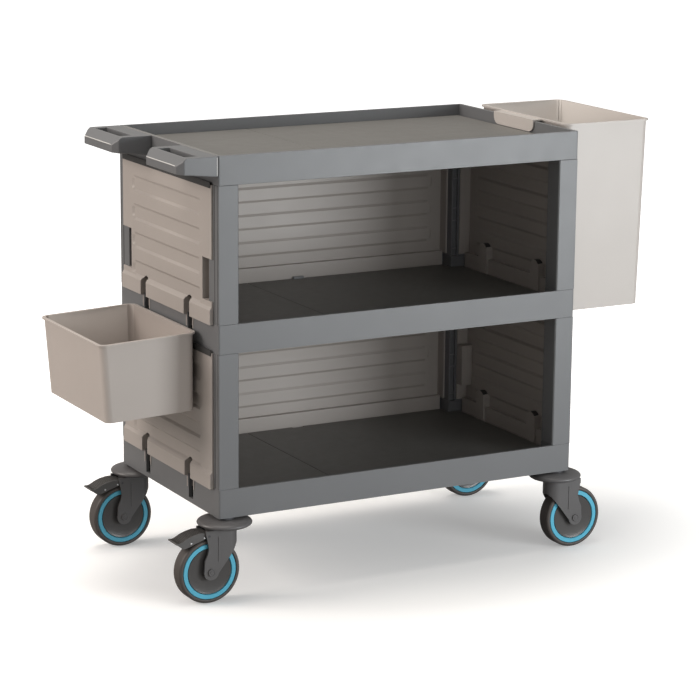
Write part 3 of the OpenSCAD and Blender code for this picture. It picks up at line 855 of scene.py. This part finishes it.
@dataclass
class Castor:
    """One swivel castor: kingpin, bumper disc, fork, wheel, and a brake pedal on the left side."""

    shell: Shell
    corner: Corner
    fork_edge: float = 1.6 * MM
    pin_edge: float = 0.5 * MM
    kingpin_edge: float = 0.6 * MM
    pedal_edge: float = 1.4 * MM
    head_gap: float = 20.3 * MM
    shoulder: float = 6.5 * MM
    groove: float = 2.5 * MM
    step: float = 1.2 * MM
    dish_rim: float = 7 * MM
    dish_deep: float = 3.2 * MM
    dish_rise: float = 2.4 * MM
    dish_steps: int = 8
    boss: float = 13 * MM
    bore: float = 4.1 * MM
    rod: float = 3.9 * MM
    cap_t: float = 3 * MM
    cap_sunk: float = 0.9 * MM
    rivet: float = 2.2 * MM
    rivet_rise: float = 0.9 * MM
    rivet_spots: tuple[tuple[float, float], ...] = ((0.19, 0.38), (0.57, 0.66))
    ribs: int = 21
    rib_start: float = 0.22
    rib_span: float = 0.74
    rib_size: tuple[float, float] = (1.3 * MM, 2.2 * MM)
    rib_margin: float = 5 * MM
    rib_steepest: float = 0.3

    def node(self, kind: str) -> str:
        """The castor's CAD node of a kind, such as "fork"."""
        return f"{kind}_{self.corner.label}"

    def build(self) -> None:
        """Builds every piece of the castor."""
        self.shell.round_copy(self.node("kingpin"), DARK_STEEL, self.kingpin_edge, 2)
        self.shell.round_copy(self.node("fork"), NYLON, self.fork_edge)
        self._bumper()
        self._wheel()
        self._axle()
        if self.corner.braked:
            self.shell.round_copy(self.node("pedal_pin"), DARK_STEEL, self.pin_edge, 2)
            self._pedal()

    def _turned(self, kind: str, finish: Finish, outline: list[tuple[float, float]],
                axis: Vector) -> None:
        """Makes a turned piece that stands for a CAD node, about the middle of the node's box.

        Args:
            kind: The kind of node.
            finish: Its finish.
            outline: Radius and height along the axis at each point.
            axis: The axis.
        """
        low, high = (Vector(corner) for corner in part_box(self.node(kind)))
        shape = bmesh.new()
        spin_outline(shape, outline, (low + high) / 2, axis)
        finish_spin(shape)
        made = place_mesh(shape, f"{self.node(kind)}_shell", [finish], 40.0)
        settle(made, self.shell.body(self.node(kind)), finish, self.node(kind))

    def _bumper(self) -> None:
        """Makes the bumper disc, domed above and more tightly rounded below."""
        low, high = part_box(self.node("bumper"))
        radius, half = (high[0] - low[0]) / 2, (high[2] - low[2]) / 2
        waist = -half / 6
        above = (radius / 3, half - waist)
        below = (radius / 5, half + waist)
        outline = [(self.head_gap, -half), (self.head_gap, half)]
        outline += arc((radius - above[0], waist), above, 90, 0, 8)
        outline += arc((radius - below[0], waist), below, 0, -90, 6)[1:]
        self._turned("bumper", NYLON, outline, Vector((0, 0, 1)))

    def _wheel(self) -> None:
        """Makes the hub's dish, the coloured ring and the tyre with their parting grooves."""
        across = Vector((0, 1, 0))
        sizes = {}
        for kind in ("hub", "ring", "tyre"):
            low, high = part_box(self.node(kind))
            sizes[kind] = ((high[2] - low[2]) / 2, (high[1] - low[1]) / 2)
        hub_r, hub_h = sizes["hub"]
        ring_r, ring_h = sizes["ring"]
        tyre_r, tyre_h = sizes["tyre"]
        rim_h = ring_h - 1 * MM
        web = rim_h - self.dish_deep
        far = hub_r - self.dish_rim
        shares = [i / self.dish_steps for i in range(self.dish_steps + 1)]
        dish = [(self.boss + 1.5 * MM + (far - self.boss) * t, web + self.dish_rise * t**2)
                for t in shares]
        side = [(self.bore, hub_h), (self.boss - 1.5 * MM, hub_h), (self.boss, hub_h - self.step)] + dish
        side += [(hub_r - self.step, rim_h), (hub_r, rim_h - self.groove)]
        self._turned("hub", HUB, side + [(r, -h) for r, h in reversed(side)], across)
        side = [(hub_r, ring_h - self.groove), (hub_r + self.step, ring_h),
                (ring_r - self.step, ring_h), (ring_r, ring_h - self.groove)]
        self._turned("ring", RING, side + [(r, -h) for r, h in reversed(side)], across)
        side = [(ring_r, tyre_h - self.groove), (ring_r + self.step, tyre_h - 0.4 * MM)]
        round_edge = (self.shoulder, self.shoulder)
        side += arc((tyre_r - self.shoulder, tyre_h - self.shoulder), round_edge, 90, 0, 7)
        self._turned("tyre", RUBBER, side + [(r, -h) for r, h in reversed(side)], across)

    def _axle(self) -> None:
        """Makes the axle, with a nylon cap on each end that has a raised ring and a button."""
        node = self.node("axle")
        low, high = (Vector(corner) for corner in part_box(node))
        middle, half = (low + high) / 2, (high.y - low.y) / 2
        cap_r, cap_t, reach = (high.z - low.z) / 2, self.cap_t, half - self.cap_t
        rod = bmesh.new()
        spin_outline(rod, [(0, -reach), (self.rod, -reach), (self.rod, reach), (0, reach)], middle,
                     Vector((0, 1, 0)), closed=False, steps=32)
        finish_spin(rod)
        body = self.shell.body(node)
        settle(place_mesh(rod, f"axle_rod_{self.corner.label}", [STEEL]), body, STEEL, node)
        caps = bmesh.new()
        face = cap_t - self.cap_sunk
        outline = [(0, 0), (cap_r, 0), (cap_r, cap_t - 0.8 * MM), (cap_r - 0.8 * MM, cap_t),
                   (cap_r - 2.2 * MM, cap_t), (cap_r - 3 * MM, face), (4 * MM, face),
                   (3.4 * MM, cap_t - 0.2 * MM), (0, cap_t - 0.2 * MM)]
        for side in (-1, 1):
            seat = middle + Vector((0, side * reach, 0))
            spin_outline(caps, outline, seat, Vector((0, side, 0)), closed=False, steps=48)
        finish_spin(caps)
        settle(place_mesh(caps, f"axle_caps_{self.corner.label}", [NYLON]), body, NYLON)

    def _pedal(self) -> None:
        """Makes the brake pedal, with grip ribs in near-black painted shade across its top and a rivet pair
        on each side.
        """
        node = self.node("pedal")
        low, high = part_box(node)
        shape = merged_copy(self.shell.nodes[node])
        surface = BVHTree.FromBMesh(shape)
        soften(shape, self.pedal_edge, 3)
        length = high[0] - low[0]
        middle = (low[1] + high[1]) / 2
        down = Vector((0, 0, -1))
        size = (self.rib_size[0], high[1] - low[1] - self.rib_margin, self.rib_size[1])
        for i in range(self.ribs):
            along = high[0] - length * (self.rib_start + self.rib_span * i / (self.ribs - 1))
            spot, normal, _, _ = surface.ray_cast(Vector((along, middle, high[2] + 0.1)), down)
            if spot is None or normal.z < self.rib_steepest:
                continue
            rib = bmesh.ops.create_cube(shape, size=1.0)["verts"]
            bmesh.ops.scale(shape, verts=rib, vec=size)
            # the ribs take the near-black painted shade
            for face in {f for vert in rib for f in vert.link_faces}:
                face.material_index = 1
            bmesh.ops.rotate(shape, verts=rib, cent=Vector(),
                             matrix=Vector((0, 0, 1)).rotation_difference(normal).to_matrix())
            bmesh.ops.translate(shape, verts=rib, vec=spot)
        body = self.shell.body(node)
        settle(place_mesh(shape, f"{node}_shell", [TREAD, PAINTED_SHADE]), body, TREAD, node)
        rivets = bmesh.new()
        for share, drop in self.rivet_spots:
            for side, edge in ((-1, low[1]), (1, high[1])):
                spot = Vector((high[0] - length * share, edge, high[2] - (high[2] - low[2]) * drop))
                outline = arc((0, 0), (self.rivet, self.rivet_rise), 0, 90, 4)
                spin_outline(rivets, [(0, -1 * MM), (self.rivet, -1 * MM)] + outline, spot,
                             Vector((0, side, 0)), closed=False, steps=20)
        finish_spin(rivets)
        settle(place_mesh(rivets, f"pedal_rivets_{self.corner.label}", [STEEL]), body, STEEL)


@dataclass(frozen=True)
class Lamp:
    """A square, soft light that looks at the cart.

    Attributes:
        name: The light's name.
        place: Where it stands.
        size: The side of its face.
        power: Its power in watts.
        tint: Its colour.
    """

    name: str
    place: tuple[float, float, float]
    size: float
    power: float
    tint: tuple[float, float, float]


LAMPS = (
    Lamp("key", (1.9, -3.2, 0.8), 1.5, 80.0, (0.94, 0.98, 1.0)),
    Lamp("front", (0.2, -6.0, 1.0), 2.5, 62.0, (0.96, 0.99, 1.0)),
    Lamp("left", (-3.1, 0.7, 1.75), 1.5, 66.0, (1.0, 0.92, 0.86)),
    Lamp("overhead", (-0.4, 0.5, 4.4), 2.6, 122.0, (1.0, 0.96, 0.90)),
)


@dataclass
class Studio:
    """The camera, the lights, and the pale floor."""

    camera_place: Vector = field(default_factory=lambda: Vector((-2.8586, -5.3210, 1.8622)))
    camera_turn: tuple[float, float, float] = (77.138, -0.482, -28.215)
    lens: float = 133.56
    sensor: float = 36.0
    floor_size: float = 60.0
    floor_seen: tuple[float, float, float] = (0.80, 0.79, 0.78)
    floor_thrown: tuple[float, float, float] = (0.36, 0.35, 0.34)
    aim: Vector = field(default_factory=lambda: Vector((0, 0, 0.5)))
    room: float = 0.31

    def build(self) -> None:
        """Builds the whole studio."""
        self._camera()
        self._floor()
        for lamp in LAMPS:
            self._light(lamp)
        self._sky()

    def _camera(self) -> None:
        """Makes the camera and the scene use it, with a plain display of light."""
        lens = bpy.data.cameras.new("camera")
        lens.lens = self.lens
        lens.sensor_width = self.sensor
        camera = bpy.data.objects.new("camera", lens)
        camera.location = self.camera_place
        camera.rotation_euler = [math.radians(a) for a in self.camera_turn]
        bpy.context.scene.collection.objects.link(camera)
        bpy.context.scene.camera = camera
        bpy.context.scene.view_settings.view_transform = "Standard"

    def _floor(self) -> None:
        """Makes the pale floor, which looks whiter than the light that it throws back."""
        shape = bmesh.new()
        bmesh.ops.create_grid(shape, x_segments=1, y_segments=1, size=self.floor_size / 2)
        mesh = bpy.data.meshes.new("studio_floor")
        shape.to_mesh(mesh)
        shape.free()
        made = bpy.data.materials.new("studio floor")
        made.use_nodes = True
        tree = made.node_tree
        seen = tree.nodes["Principled BSDF"]
        seen.inputs["Base Color"].default_value = (*self.floor_seen, 1.0)
        seen.inputs["Roughness"].default_value = 0.8
        seen.inputs["Emission Strength"].default_value = 1.0
        sweep = tree.nodes.new("ShaderNodeGroup")
        sweep.node_tree = bpy.data.node_groups["Studio Sweep"]
        tree.links.new(tree.nodes.new("ShaderNodeTexCoord").outputs["Object"], sweep.inputs["Vector"])
        tree.links.new(sweep.outputs["Color"], seen.inputs["Emission Color"])
        bounced = tree.nodes.new("ShaderNodeBsdfDiffuse")
        bounced.inputs["Color"].default_value = (*self.floor_thrown, 1.0)
        self._by_camera(tree, bounced.outputs[0], seen.outputs[0], tree.nodes["Material Output"])
        mesh.materials.append(made)
        floor = bpy.data.objects.new("studio_floor", mesh)
        bpy.context.scene.collection.objects.link(floor)

    @staticmethod
    def _by_camera(tree: Tree, other: Socket, seen: Socket, sink: bpy.types.Node) -> None:
        """Ends a node tree in one shader for what is seen directly and another for the rest.

        Args:
            tree: The node tree.
            other: The shader for light that bounces.
            seen: The shader for what is seen directly.
            sink: The output node.
        """
        mix = tree.nodes.new("ShaderNodeMixShader")
        tree.links.new(tree.nodes.new("ShaderNodeLightPath").outputs["Is Camera Ray"], mix.inputs[0])
        tree.links.new(other, mix.inputs[1])
        tree.links.new(seen, mix.inputs[2])
        tree.links.new(mix.outputs[0], sink.inputs["Surface"])

    def _light(self, lamp: Lamp) -> None:
        """Makes one light of the studio.

        Args:
            lamp: The light's place, size, power and colour.
        """
        light = bpy.data.lights.new(lamp.name, "AREA")
        light.size = lamp.size
        light.energy = lamp.power
        light.color = lamp.tint
        holder = bpy.data.objects.new(lamp.name, light)
        holder.location = lamp.place
        holder.visible_camera = False
        holder.rotation_euler = (self.aim - Vector(lamp.place)).to_track_quat("-Z", "Y").to_euler()
        bpy.context.scene.collection.objects.link(holder)

    def _sky(self) -> None:
        """Fills the room with an even, near-white light."""
        world = bpy.data.worlds.new("room")
        world.use_nodes = True
        tree = world.node_tree
        room = tree.nodes["Background"]
        room.inputs["Color"].default_value = (1.0, 0.99, 0.97, 1.0)
        room.inputs["Strength"].default_value = self.room
        backdrop = tree.nodes.new("ShaderNodeBackground")
        backdrop.inputs["Color"].default_value = (1.0, 1.0, 0.995, 1.0)
        self._by_camera(tree, room.outputs[0], backdrop.outputs[0], tree.nodes["World Output"])
        bpy.context.scene.world = world


def main(frame: dict) -> None:
    """Builds every sub-assembly in order.
    """
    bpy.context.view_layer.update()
    for make in (grain_group, scuff_group, dust_group, tint_group, sweep_group):
        make()
    Studio().build()
    shell = Shell(frame["nodes"])
    for assembly in (Frame(shell), Panels(shell), Handles(shell), Bins(shell)):
        assembly.build()
    for corner in Corner:
        Castor(shell, corner).build()


if __name__ == "__main__":
    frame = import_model()
    main(frame)
